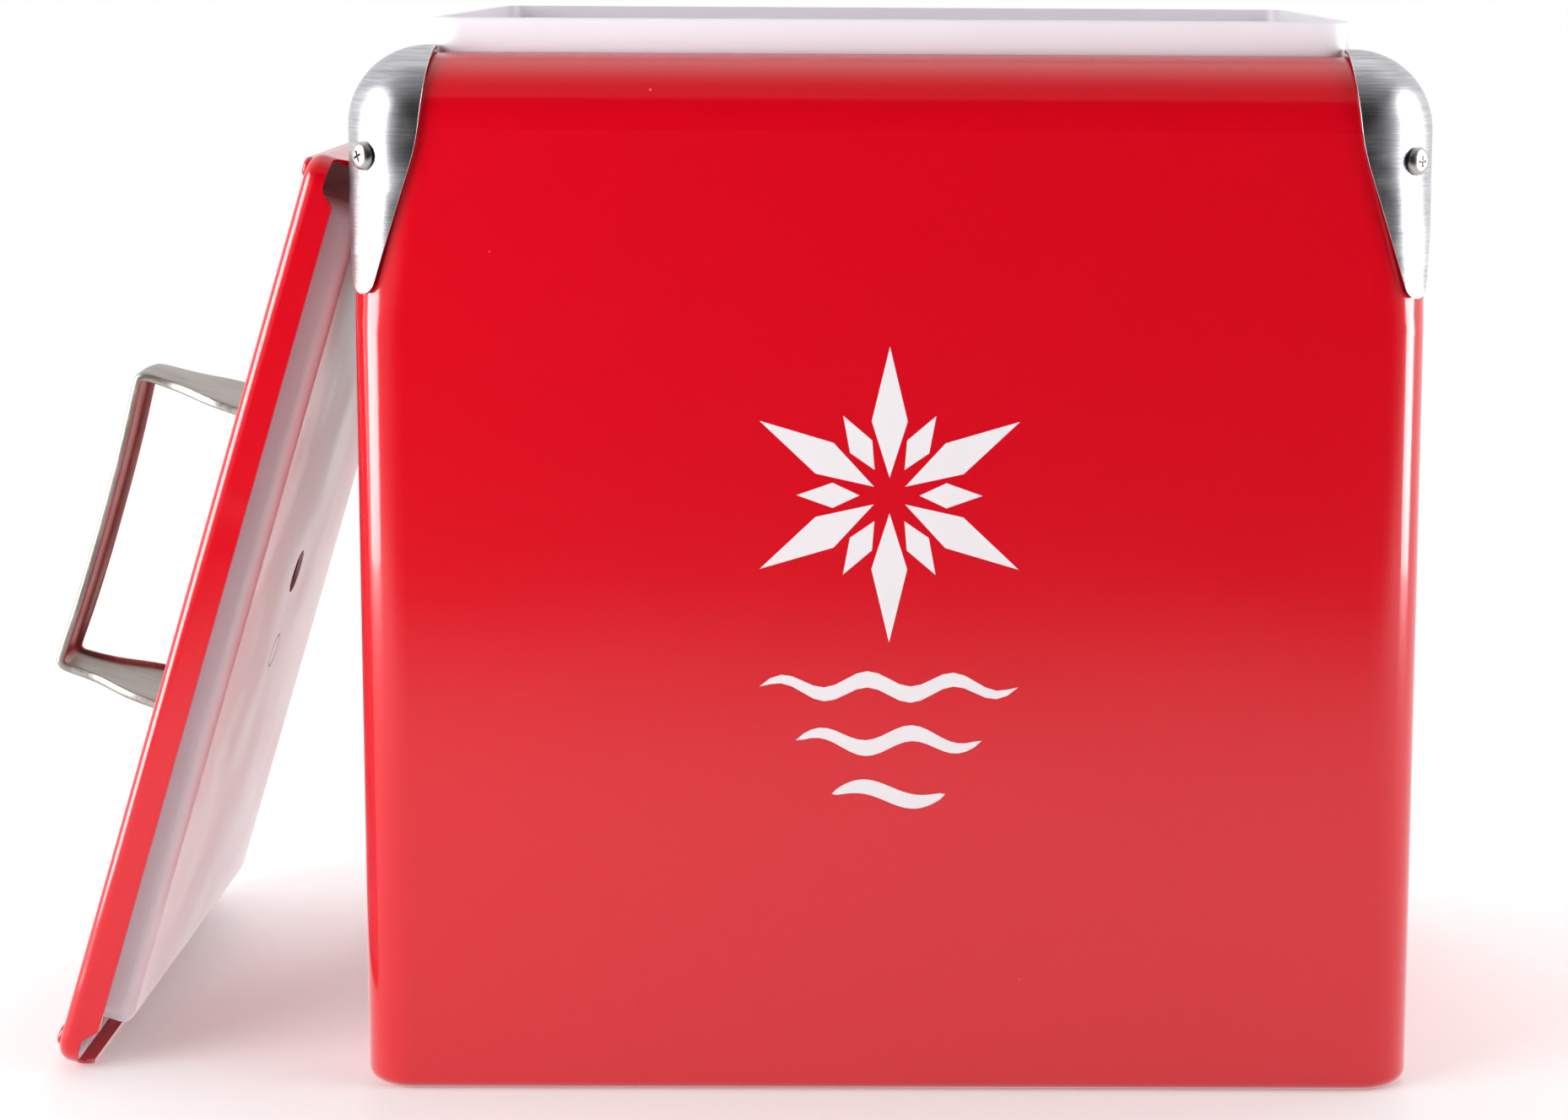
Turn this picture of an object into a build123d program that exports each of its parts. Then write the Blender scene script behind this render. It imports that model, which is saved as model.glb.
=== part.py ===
from build123d import *
from math import cos, radians, sin, sqrt
import os

# Picnic cooler: an enamelled steel cabinet with a moulded liner, four pressed corner guards and a
# lift-off lid that leans against the cabinet's left side.
# Millimetres. Origin at the centre of the cabinet's underside, +X right, +Y back, +Z up.

# Cabinet
body_length = 330.0
body_depth = 235.0
rim_height = 324.0
corner_radius = 16.0  # upright corners
roll_radius = 22.5  # rolled top edges, and the upright corners just below them
hem_radius = 4.0  # bottom edge, turned under
steel = 0.8
base_flange = 14.0  # width of the turned-under bottom edge
shoulder_drop = 38.0  # below the rim: the upright corners have the roll's radius down to here
shoulder_length = 46.0  # and come back to their own radius over this height
fit = 0.2  # clearance between nested pieces

# Base pan
pan_wall = 12.0
pan_panel_margin = 34.0  # from the cabinet's side to the raised panel
pan_panel_rise = 3.0
pan_panel_corner = 14.0

# Liner
collar_inset = 22.5  # from the cabinet's side to the collar
collar_height = 10.5
collar_wall = 3.0
collar_corner = 10.0
collar_edge = 1.0
liner_wall = 2.2
liner_shoulder = 9.0  # how far down the shoulder follows the rolled edge
chest_floor = 24.0
chest_draft = 3.5  # how much nearer each wall comes at the floor
chest_floor_radius = 12.0

# Corner guards
guard_sheet = 1.3
guard_gap = 0.8
guard_reach = 25.0  # from the cabinet's side, at the rim
guard_knee_drop = 27.0
guard_knee_reach = 21.9
guard_tip_drop = 73.0
guard_tip_reach = 6.9
guard_knee_radius = 70.0
guard_tip_radius = 5.0
guard_screw_drop = 31.0

# Pan-head screws, for the guards and the handle
head_radius = 4.5
head_height = 2.6
head_edge = 1.8
recess_length = 4.6
recess_width = 0.9
recess_depth = 1.2
guard_shank_radius = 2.0
guard_shank_length = 15.0
hole_clearance = 0.3
clip_width = 10.0
clip_sheet = 1.5

# Lid
lid_inset = 13.5  # from the cabinet's side to the skirt, with the lid on
lid_height = 11.5  # from the skirt's free edge to the top face
lid_corner = 9.0
lid_edge = 4.5
lid_hem = 2.2  # height of the folded free edge
bead_width = 6.6
bead_height = 2.0
bead_from_end = 5.7
bead_end_gap = 9.0
bead_edge = 1.5
notch_rise = 4.3
notch_along_side = 14.5
notch_along_end = 10.6
notch_slope = 4.5
notch_radius = 3.0

# Lid plug
plug_clearance = 1.2
plug_drop = 7.2  # below the skirt's free edge
plug_wall = 2.0
plug_edge = 4.0
plug_corner = 5.0
flange_thickness = 1.8
fill_hole_radius = 7.5
fill_plug_recess = 1.2
fill_plug_rim = 1.5
fill_plug_sheet = 1.2
mark_radius = 6.0  # moulding mark beside the fill plug
mark_width = 0.7
mark_depth = 0.4
mark_offset = 29.0

# Handle
handle_length = 108.0
handle_height = 51.5
handle_sheet = 1.5
handle_lip = 3.2  # depth of the edges turned towards the lid
handle_bend = 7.0
handle_foot_bend = 3.0
handle_foot = 14.0
foot_width = 58.0
leg_width = 46.0
leg_rise = 20.0
neck_width = 29.0
neck_rise = 33.0
grip_width = 25.0
leg_shoulder = 9.0
handle_shank_radius = 2.5
handle_shank_length = 12.0
handle_screw_spacing = 40.0
backing_width = 16.0
backing_length = 54.0
backing_sheet = 1.5
washer_radius = 4.8
washer_sheet = 0.9
nut_flats = 8.0
nut_height = 3.5

# Where the lid stands, beside the cabinet
lean = 16.8
lid_gap = 0.3  # between the plug's upper edge and the cabinet's side it leans on

os.makedirs("parts", exist_ok=True)

# Sizes that follow from the ones above
shoulder_top = rim_height - shoulder_drop
shoulder_foot = shoulder_top - shoulder_length
collar_length = body_length - 2 * collar_inset
collar_depth = body_depth - 2 * collar_inset
collar_top = rim_height + collar_height
chest_length = collar_length - 2 * collar_wall
chest_depth = collar_depth - 2 * collar_wall
chest_corner = collar_corner - collar_wall
pan_floor = steel + fit
panel_length = body_length - 2 * pan_panel_margin
panel_depth = body_depth - 2 * pan_panel_margin
lid_length = body_length - 2 * lid_inset
lid_depth = body_depth - 2 * lid_inset
plug_length = chest_length - 2 * plug_clearance
plug_depth = chest_depth - 2 * plug_clearance
guard_stand = guard_gap + guard_sheet
handle_top = lid_height + handle_height

# The lid's own frame: its origin is the middle of the skirt's free edge, x runs up its length,
# y runs back, and z points out of its top face. The lower end stands on the floor.
lean_sin = sin(radians(lean))
lean_cos = cos(radians(lean))
edge_centre_up = plug_length / 2 - plug_edge
edge_centre_in = plug_drop - plug_edge
edge_centre_z = (lid_length / 2 + edge_centre_up) * lean_cos - edge_centre_in * lean_sin
over_roll = max(0, edge_centre_z - (rim_height - roll_radius))
roll_reach = sqrt((roll_radius + lid_gap + plug_edge) ** 2 - over_roll**2)
edge_centre_x = roll_radius - body_length / 2 - roll_reach
lid_plane = Plane(
    origin=(
        edge_centre_x - edge_centre_up * lean_sin - edge_centre_in * lean_cos,
        0,
        lid_length / 2 * lean_cos,
    ),
    x_dir=(lean_sin, 0, lean_cos),
    z_dir=(-lean_cos, 0, lean_sin),
)
lid_side = Plane(origin=lid_plane.origin, x_dir=lid_plane.x_dir, z_dir=-lid_plane.y_dir)
lid_end = Plane(origin=lid_plane.origin, x_dir=lid_plane.y_dir, z_dir=lid_plane.x_dir)
lid_up = Axis(lid_plane.origin, lid_plane.z_dir)


def cabinet_block(inset, bottom, bottom_edge=0):
    """The cabinet's outside as one solid, drawn in by inset on its sides and top."""
    length = body_length - 2 * inset
    depth = body_depth - 2 * inset
    corner = corner_radius - inset
    shoulder = roll_radius - inset
    with BuildPart() as top:
        with BuildSketch(Plane.XY.offset(shoulder_top)):
            Rectangle(length, depth)
        extrude(amount=shoulder_drop - inset)
        rolled = top.edges().filter_by(Axis.Z) + top.edges().group_by(Axis.Z)[-1]
        fillet(rolled, radius=shoulder)
    with BuildPart() as block:
        with BuildSketch(Plane.XY.offset(bottom)):
            RectangleRounded(length, depth, corner)
        extrude(amount=shoulder_foot - bottom)
        if bottom_edge > 0:
            fillet(block.edges().group_by(Axis.Z)[0], radius=bottom_edge)
        with BuildSketch(Plane.XY.offset(shoulder_foot)):
            RectangleRounded(length, depth, corner)
        with BuildSketch(Plane.XY.offset(shoulder_top)):
            RectangleRounded(length, depth, shoulder)
        loft(ruled=True)
        add(top.part)
    return block.part


def chest_block(grow, bottom, top):
    """The chest's tapered hollow, grown by grow on its sides and floor."""
    taper = chest_draft * (rim_height - bottom) / (rim_height - chest_floor)
    with BuildPart() as block:
        with BuildSketch(Plane.XY.offset(bottom)):
            RectangleRounded(
                chest_length - 2 * taper + 2 * grow,
                chest_depth - 2 * taper + 2 * grow,
                chest_corner + grow,
            )
        with BuildSketch(Plane.XY.offset(top)):
            RectangleRounded(chest_length + 2 * grow, chest_depth + 2 * grow, chest_corner + grow)
        loft(ruled=True)
        fillet(block.edges().group_by(Axis.Z)[0], radius=min(chest_floor_radius, chest_corner) + grow - fit)
    return block.part


def lid_block(inset):
    """The lid's outside as one solid, drawn in by inset on its sides and top."""
    with BuildPart() as block:
        with BuildSketch(lid_plane):
            RectangleRounded(lid_length - 2 * inset, lid_depth - 2 * inset, lid_corner - inset)
        extrude(amount=lid_height - inset)
        fillet(block.edges().group_by(lid_up)[-1], radius=lid_edge - inset)
    return block.part


def plug_block(inset, top):
    """The lid plug's outside as one solid, drawn in by inset on its sides and bottom."""
    with BuildPart() as block:
        with BuildSketch(lid_plane.offset(inset - plug_drop)):
            RectangleRounded(plug_length - 2 * inset, plug_depth - 2 * inset, plug_corner - inset)
        extrude(amount=top + plug_drop - inset)
        fillet(block.edges().group_by(lid_up)[0], radius=plug_edge - inset)
    return block.part


def pan_head_screw(seat, shank_radius, shank_length):
    """A pan-head screw with a cross recess, its head resting on the seat plane."""
    outward = Axis(seat.origin, seat.z_dir)
    with BuildPart(seat) as screw:
        Cylinder(head_radius, head_height, align=(Align.CENTER, Align.CENTER, Align.MIN))
        fillet(screw.faces().sort_by(outward)[-1].edges(), radius=head_edge)
        Cylinder(shank_radius, shank_length, align=(Align.CENTER, Align.CENTER, Align.MAX))
        with Locations((0, 0, head_height)):
            Box(recess_length, recess_width, 2 * recess_depth, mode=Mode.SUBTRACT)
            Box(recess_width, recess_length, 2 * recess_depth, mode=Mode.SUBTRACT)
    return screw.part


def hole_along(seat, radius, length):
    """A round bar through the seat plane, to cut a hole with."""
    with BuildPart(seat) as bar:
        Cylinder(radius, length)
    return bar.part


def finish(piece, label):
    """Give a finished piece its name and write it."""
    piece.part.label = label
    export_step(piece.part, f"parts/{label}.step")


# Guard screws stand on the 45 degree line of each upright corner
corner_signs = [(-1, -1), (1, -1), (-1, 1), (1, 1)]


def corner_seat(x_sign, y_sign, radius):
    """Plane square to a corner's 45 degree line, at a distance from the corner's own centre."""
    out_x = x_sign * sqrt(0.5)
    out_y = y_sign * sqrt(0.5)
    centre_x = x_sign * (body_length / 2 - roll_radius)
    centre_y = y_sign * (body_depth / 2 - roll_radius)
    return Plane(
        origin=(centre_x + radius * out_x, centre_y + radius * out_y, rim_height - guard_screw_drop),
        x_dir=(0, 0, 1),
        z_dir=(out_x, out_y, 0),
    )


guard_seats = [corner_seat(x, y, roll_radius + guard_stand) for x, y in corner_signs]
clip_face = sqrt((roll_radius - steel) ** 2 - (clip_width / 2) ** 2) - fit
clip_seats = [corner_seat(x, y, clip_face) for x, y in corner_signs]
guard_shanks = [hole_along(seat, guard_shank_radius + hole_clearance, 3 * head_radius) for seat in guard_seats]

# Body shell: wrapped sheet, rolled over at the top and turned under at the bottom
shell_outside = cabinet_block(0, 0, hem_radius)
shell_inside = cabinet_block(steel, steel, hem_radius - steel)
with BuildPart() as body_shell:
    add(shell_outside)
    add(shell_inside, mode=Mode.SUBTRACT)
    with BuildSketch(Plane.XY.offset(rim_height - roll_radius)):
        RectangleRounded(collar_length + 2 * fit, collar_depth + 2 * fit, collar_corner + fit)
    extrude(amount=2 * roll_radius, mode=Mode.SUBTRACT)
    with BuildSketch(Plane.XY):
        RectangleRounded(body_length - 2 * base_flange, body_depth - 2 * base_flange, corner_radius)
    extrude(amount=2 * steel, mode=Mode.SUBTRACT)
    for shank in guard_shanks:
        add(shank, mode=Mode.SUBTRACT)
finish(body_shell, "body_shell")

# Base pan: a shallow dish that lies on the turned-under edge, with a raised middle panel
with BuildPart() as base_pan:
    with BuildSketch(Plane.XY.offset(pan_floor)):
        RectangleRounded(
            body_length - 2 * (steel + fit), body_depth - 2 * (steel + fit), corner_radius - steel - fit
        )
    extrude(amount=pan_wall)
    fillet(base_pan.edges().group_by(Axis.Z)[0], radius=hem_radius - steel - fit)
    pan_inset = 2 * steel + fit
    with BuildPart(mode=Mode.PRIVATE) as pan_hollow:
        with BuildSketch(Plane.XY.offset(pan_floor + steel)):
            RectangleRounded(body_length - 2 * pan_inset, body_depth - 2 * pan_inset, corner_radius - pan_inset)
        extrude(amount=pan_wall)
        fillet(pan_hollow.edges().group_by(Axis.Z)[0], radius=hem_radius - pan_inset)
    add(pan_hollow.part, mode=Mode.SUBTRACT)
    with BuildSketch(Plane.XY.offset(pan_floor)):
        RectangleRounded(panel_length + 2 * steel, panel_depth + 2 * steel, pan_panel_corner + steel)
    extrude(amount=pan_panel_rise + steel)
    with BuildSketch(Plane.XY.offset(pan_floor)):
        RectangleRounded(panel_length, panel_depth, pan_panel_corner)
    extrude(amount=pan_panel_rise, mode=Mode.SUBTRACT)
    Cylinder(fill_hole_radius, pan_wall, mode=Mode.SUBTRACT)
finish(base_pan, "base_pan")

# Base fill plug: closes the foam hole from below, inside the panel's recess
panel_under = pan_floor + pan_panel_rise
with BuildPart() as base_fill_plug:
    with Locations((0, 0, panel_under - fit)):
        Cylinder(
            fill_hole_radius + 2 * fill_plug_rim,
            fill_plug_sheet,
            align=(Align.CENTER, Align.CENTER, Align.MAX),
        )
        Cylinder(
            fill_hole_radius - fit,
            2 * steel + 2 * fit,
            align=(Align.CENTER, Align.CENTER, Align.MIN),
        )
finish(base_fill_plug, "base_fill_plug")

# Liner: one moulding, with the collar above the rim and a shoulder under the rolled sheet
shoulder_outside = cabinet_block(steel + fit, chest_floor)
shoulder_inside = cabinet_block(steel + fit + liner_wall, chest_floor)
chest_hollow = chest_block(0, chest_floor, collar_top + fit)
chest_outside = chest_block(liner_wall, chest_floor - liner_wall, rim_height - steel)
with BuildPart() as liner:
    add(shoulder_outside)
    add(shoulder_inside, mode=Mode.SUBTRACT)
    with BuildSketch(Plane.XY.offset(rim_height - liner_shoulder)):
        Rectangle(body_length, body_depth)
    extrude(amount=2 * liner_shoulder, mode=Mode.INTERSECT)
    with BuildPart(mode=Mode.PRIVATE) as collar:
        with BuildSketch(Plane.XY.offset(rim_height - liner_shoulder)):
            RectangleRounded(collar_length, collar_depth, collar_corner)
        extrude(amount=liner_shoulder + collar_height)
        fillet(collar.edges().group_by(Axis.Z)[-1], radius=collar_edge)
    add(collar.part)
    add(chest_outside)
    add(chest_hollow, mode=Mode.SUBTRACT)
finish(liner, "liner")

# Body insulation: foam between the shell, the pan and the liner
foam_outside = cabinet_block(steel + fit, pan_floor + pan_wall + fit)
foam_chest = chest_block(liner_wall + fit, chest_floor - liner_wall - fit, collar_top)
with BuildPart() as body_insulation:
    with BuildSketch(Plane.XY.offset(pan_floor + pan_panel_rise + steel + fit)):
        foam_inset = pan_inset + fit
        RectangleRounded(body_length - 2 * foam_inset, body_depth - 2 * foam_inset, corner_radius - foam_inset)
    extrude(amount=pan_wall)
    add(foam_outside)
    with BuildSketch(Plane.XY.offset(rim_height - liner_shoulder - fit)):
        Rectangle(body_length, body_depth)
    extrude(amount=2 * liner_shoulder, mode=Mode.SUBTRACT)
    add(foam_chest, mode=Mode.SUBTRACT)
    Cylinder(fill_hole_radius + fit, 4 * pan_panel_rise, mode=Mode.SUBTRACT)
    for seat in clip_seats:
        add(hole_along(seat, clip_width, 2 * guard_shank_length), mode=Mode.SUBTRACT)
finish(body_insulation, "body_insulation")

# Corner guards: pressed sheet over each top corner, drawn out to a rounded tip
guard_outside = cabinet_block(-guard_stand, chest_floor)
guard_inside = cabinet_block(-guard_gap, chest_floor)
guard_margin = 2 * guard_stand


def guard_outline(side):
    """The guard as seen square to one face, measured in from that face's side edge."""
    top = rim_height + guard_margin
    slope = (guard_reach - guard_knee_reach) / guard_knee_drop
    FilletPolyline(
        (side + guard_reach + slope * guard_margin, top),
        (side + guard_knee_reach, rim_height - guard_knee_drop),
        (side + guard_tip_reach, rim_height - guard_tip_drop),
        (side - guard_margin, rim_height - guard_tip_drop),
        (side - guard_margin, top),
        radius=[0, guard_knee_radius, guard_tip_radius, 0, 0],
        close=True,
    )


with BuildPart() as front_left_guard:
    add(guard_outside)
    add(guard_inside, mode=Mode.SUBTRACT)
    with BuildSketch(Plane.XZ):
        with BuildLine():
            guard_outline(-body_length / 2)
        make_face()
    extrude(amount=body_depth, mode=Mode.INTERSECT)
    with BuildSketch(Plane.YZ):
        with BuildLine():
            guard_outline(-body_depth / 2)
        make_face()
    extrude(amount=-body_length, mode=Mode.INTERSECT)
    with BuildSketch(Plane.XY.offset(rim_height - guard_knee_drop)):
        RectangleRounded(
            collar_length + 2 * guard_gap, collar_depth + 2 * guard_gap, collar_corner + guard_gap
        )
    extrude(amount=2 * guard_knee_drop, mode=Mode.SUBTRACT)
    add(guard_shanks[0], mode=Mode.SUBTRACT)
finish(front_left_guard, "front_left_guard")

with BuildPart() as front_right_guard:
    mirror(front_left_guard.part, about=Plane.YZ)
finish(front_right_guard, "front_right_guard")

with BuildPart() as back_left_guard:
    mirror(front_left_guard.part, about=Plane.XZ)
finish(back_left_guard, "back_left_guard")

with BuildPart() as back_right_guard:
    mirror(back_left_guard.part, about=Plane.YZ)
finish(back_right_guard, "back_right_guard")

# Guard screws, and the clip nuts they turn into behind the sheet
guard_screw_parts = [pan_head_screw(seat, guard_shank_radius, guard_shank_length) for seat in guard_seats]
with BuildPart() as guard_screws:
    for screw in guard_screw_parts:
        add(screw)
finish(guard_screws, "guard_screws")

with BuildPart() as guard_clip_nuts:
    for seat in clip_seats:
        with BuildPart(seat, mode=Mode.PRIVATE) as clip:
            Box(clip_width, clip_width, clip_sheet, align=(Align.CENTER, Align.CENTER, Align.MAX))
            with Locations((0, 0, -clip_sheet)):
                Cylinder(
                    2 * guard_shank_radius, 2 * clip_sheet, align=(Align.CENTER, Align.CENTER, Align.MAX)
                )
            Cylinder(guard_shank_radius + fit / 4, 8 * clip_sheet, mode=Mode.SUBTRACT)
        add(clip.part)
finish(guard_clip_nuts, "guard_clip_nuts")

# Lid shell: pressed top with a skirt, folded at its free edge and notched over the guards
lid_outside = lid_block(0)
lid_inside = lid_block(steel)
with BuildPart() as corner_notches:
    with BuildSketch(lid_side):
        for end in (-1, 1):
            with BuildLine():
                FilletPolyline(
                    (end * (lid_length / 2 + notch_slope), -notch_slope),
                    (end * (lid_length / 2 + notch_slope), notch_rise),
                    (end * (lid_length / 2 - notch_along_side + notch_slope), notch_rise),
                    (end * (lid_length / 2 - notch_along_side - notch_slope), -notch_slope),
                    radius=[0, 0, notch_radius, 0],
                    close=True,
                )
            make_face()
    extrude(amount=lid_depth, both=True)
    with BuildSketch(lid_end):
        for side in (-1, 1):
            with BuildLine():
                FilletPolyline(
                    (side * (lid_depth / 2 + notch_slope), -notch_slope),
                    (side * (lid_depth / 2 + notch_slope), notch_rise),
                    (side * (lid_depth / 2 - notch_along_end + notch_slope), notch_rise),
                    (side * (lid_depth / 2 - notch_along_end - notch_slope), -notch_slope),
                    radius=[0, 0, notch_radius, 0],
                    close=True,
                )
            make_face()
    extrude(amount=lid_length, both=True, mode=Mode.INTERSECT)

foot_middle = handle_length / 2 + (handle_foot + handle_foot_bend) / 2
handle_points = [
    (end * foot_middle, side * handle_screw_spacing / 2) for end in (-1, 1) for side in (-1, 1)
]
with BuildPart() as lid_shell:
    add(lid_outside)
    add(lid_inside, mode=Mode.SUBTRACT)
    with BuildSketch(lid_plane):
        RectangleRounded(lid_length, lid_depth, lid_corner)
        RectangleRounded(
            lid_length - 4 * steel, lid_depth - 4 * steel, lid_corner - 2 * steel, mode=Mode.SUBTRACT
        )
    extrude(amount=lid_hem)
    with BuildSketch(lid_plane.offset(lid_height - steel)):
        with Locations((lid_length / 2 - bead_from_end, 0), (bead_from_end - lid_length / 2, 0)):
            SlotOverall(lid_depth - 2 * bead_end_gap, bead_width, rotation=90)
    extrude(amount=bead_height + steel)
    fillet(lid_shell.edges().group_by(lid_up)[-1], radius=bead_edge)
    with BuildSketch(lid_plane.offset(lid_height - lid_edge)):
        with Locations((lid_length / 2 - bead_from_end, 0), (bead_from_end - lid_length / 2, 0)):
            SlotOverall(lid_depth - 2 * bead_end_gap - 2 * steel, bead_width - 2 * steel, rotation=90)
    extrude(amount=lid_edge + bead_height - steel, mode=Mode.SUBTRACT)
    add(corner_notches.part, mode=Mode.SUBTRACT)
    with Locations(lid_plane.offset(lid_height)):
        with Locations(*handle_points):
            Cylinder(handle_shank_radius + hole_clearance, 4 * steel, mode=Mode.SUBTRACT)
finish(lid_shell, "lid_shell")

# Lid liner: the white plug and the flange round it, under the steel top
lid_under = lid_height - steel
flange_block = lid_block(steel + fit)
plug_outside = plug_block(0, lid_under - fit)
plug_inside = plug_block(plug_wall, lid_height)
with BuildPart() as lid_liner:
    add(flange_block)
    with BuildSketch(lid_plane.offset(lid_under - fit - flange_thickness)):
        Rectangle(lid_length, lid_depth)
    extrude(amount=2 * flange_thickness, mode=Mode.INTERSECT)
    add(plug_outside)
    add(plug_inside, mode=Mode.SUBTRACT)
    with Locations(lid_plane.offset(-plug_drop)):
        Cylinder(fill_hole_radius, 4 * plug_wall, mode=Mode.SUBTRACT)
    with BuildSketch(lid_plane.offset(-plug_drop)):
        with Locations((-mark_offset, 0)):
            Circle(mark_radius)
            Circle(mark_radius - mark_width, mode=Mode.SUBTRACT)
    extrude(amount=mark_depth, mode=Mode.SUBTRACT)
finish(lid_liner, "lid_liner")

# Lid fill plug: a recessed disc in the middle of the lid liner, flanged on the inside
with BuildPart() as lid_fill_plug:
    with Locations(lid_plane.offset(fill_plug_recess - plug_drop)):
        Cylinder(
            fill_hole_radius - fit,
            plug_wall - fill_plug_recess + fit,
            align=(Align.CENTER, Align.CENTER, Align.MIN),
        )
    with Locations(lid_plane.offset(plug_wall + fit - plug_drop)):
        Cylinder(
            fill_hole_radius + fill_plug_rim, fill_plug_sheet, align=(Align.CENTER, Align.CENTER, Align.MIN)
        )
finish(lid_fill_plug, "lid_fill_plug")

# Lid insulation: foam inside the plug, moulded round the handle's plates and nuts
plate_under = lid_under - fit - backing_sheet
foam_block = plug_block(plug_wall + fit, lid_under - fit)
with BuildPart() as lid_insulation:
    add(foam_block)
    with Locations(lid_plane.offset(lid_under)):
        with Locations((-foot_middle, 0), (foot_middle, 0)):
            Box(
                backing_width + 2 * fit,
                backing_length + 2 * fit,
                backing_sheet + 2 * fit,
                align=(Align.CENTER, Align.CENTER, Align.MAX),
                mode=Mode.SUBTRACT,
            )
        with Locations(*handle_points):
            Cylinder(
                nut_flats * 0.6 + fit,
                handle_shank_length,
                align=(Align.CENTER, Align.CENTER, Align.MAX),
                mode=Mode.SUBTRACT,
            )
    with Locations(lid_plane.offset(plug_wall - plug_drop)):
        Cylinder(
            fill_hole_radius + fill_plug_rim + fit,
            fill_plug_sheet + 2 * fit,
            align=(Align.CENTER, Align.CENTER, Align.MIN),
            mode=Mode.SUBTRACT,
        )
finish(lid_insulation, "lid_insulation")


def strap_profile(depth, foot):
    """Side view of the strap, depth thick, bent from the feet over the grip."""
    half = handle_length / 2
    FilletPolyline(
        (-half - foot, lid_height),
        (-half - foot, lid_height + handle_sheet),
        (-half, lid_height + handle_sheet),
        (-half, handle_top),
        (half, handle_top),
        (half, lid_height + handle_sheet),
        (half + foot, lid_height + handle_sheet),
        (half + foot, lid_height),
        (half - depth, lid_height),
        (half - depth, handle_top - depth),
        (depth - half, handle_top - depth),
        (depth - half, lid_height),
        radius=[
            0,
            0,
            handle_foot_bend,
            handle_bend,
            handle_bend,
            handle_foot_bend,
            0,
            0,
            handle_foot_bend + depth,
            handle_bend - depth,
            handle_bend - depth,
            handle_foot_bend + depth,
        ],
        close=True,
    )


def strap_end(inset):
    """End view of the strap: wide legs drawn in to the narrow grip, all drawn in by inset."""
    right = [
        (grip_width / 2 - inset, handle_top + handle_bend),
        (neck_width / 2 - inset, lid_height + neck_rise),
        (leg_width / 2 - inset, lid_height + leg_rise),
        (foot_width / 2 - inset, lid_height - handle_sheet),
    ]
    FilletPolyline(
        *[(-x, y) for x, y in reversed(right)],
        *right,
        radius=[0, leg_shoulder, leg_shoulder, 0, 0, leg_shoulder, leg_shoulder, 0],
        close=True,
    )


# Handle: one pressed strap, wide at its feet, with its edges turned towards the lid
with BuildPart() as strap_core:
    with BuildSketch(lid_end):
        with BuildLine():
            strap_end(handle_sheet)
        make_face()
    extrude(amount=handle_length, both=True)

with BuildPart() as strap_lip:
    with BuildSketch(lid_side):
        with BuildLine():
            strap_profile(handle_lip, handle_foot)
        make_face()
    extrude(amount=foot_width, both=True)
    with BuildSketch(lid_plane.offset(lid_height + handle_foot_bend + handle_lip)):
        Rectangle(handle_length + handle_sheet, foot_width)
    extrude(amount=handle_height, mode=Mode.INTERSECT)
    add(strap_core.part, mode=Mode.SUBTRACT)

with BuildPart() as handle:
    with BuildSketch(lid_side):
        with BuildLine():
            strap_profile(handle_sheet, handle_foot)
        make_face()
    extrude(amount=foot_width, both=True)
    add(strap_lip.part)
    with BuildSketch(lid_end):
        with BuildLine():
            strap_end(0)
        make_face()
    extrude(amount=handle_length, both=True, mode=Mode.INTERSECT)
    with Locations(lid_plane.offset(lid_height)):
        with Locations(*handle_points):
            Cylinder(handle_shank_radius + hole_clearance, 4 * handle_sheet, mode=Mode.SUBTRACT)
finish(handle, "handle")

# Handle screws, backing plates, washers and nuts
foot_top = lid_plane.offset(lid_height + handle_sheet)
handle_seats = [
    Plane(origin=foot_top.from_local_coords((x, y, 0)), x_dir=foot_top.x_dir, z_dir=foot_top.z_dir)
    for x, y in handle_points
]
handle_screw_parts = [pan_head_screw(seat, handle_shank_radius, handle_shank_length) for seat in handle_seats]
with BuildPart() as handle_screws:
    for screw in handle_screw_parts:
        add(screw)
finish(handle_screws, "handle_screws")

with BuildPart() as handle_backing_plates:
    with Locations(lid_plane.offset(lid_under - fit)):
        with Locations((-foot_middle, 0), (foot_middle, 0)):
            Box(backing_width, backing_length, backing_sheet, align=(Align.CENTER, Align.CENTER, Align.MAX))
        with Locations(*handle_points):
            Cylinder(handle_shank_radius + fit, 4 * backing_sheet, mode=Mode.SUBTRACT)
finish(handle_backing_plates, "handle_backing_plates")

with BuildPart() as handle_washers:
    with BuildSketch(lid_plane.offset(plate_under - washer_sheet)):
        with Locations(*handle_points):
            Circle(washer_radius)
            Circle(handle_shank_radius + fit, mode=Mode.SUBTRACT)
    extrude(amount=washer_sheet)
finish(handle_washers, "handle_washers")

with BuildPart() as handle_nuts:
    with BuildSketch(lid_plane.offset(plate_under - washer_sheet - nut_height)):
        with Locations(*handle_points):
            RegularPolygon(nut_flats / 2, 6, major_radius=False)
            Circle(handle_shank_radius + fit / 4, mode=Mode.SUBTRACT)
    extrude(amount=nut_height)
finish(handle_nuts, "handle_nuts")
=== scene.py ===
from math import cos, pi, radians, sin, sqrt

import bmesh
import bpy
from mathutils import Matrix, Vector


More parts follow.
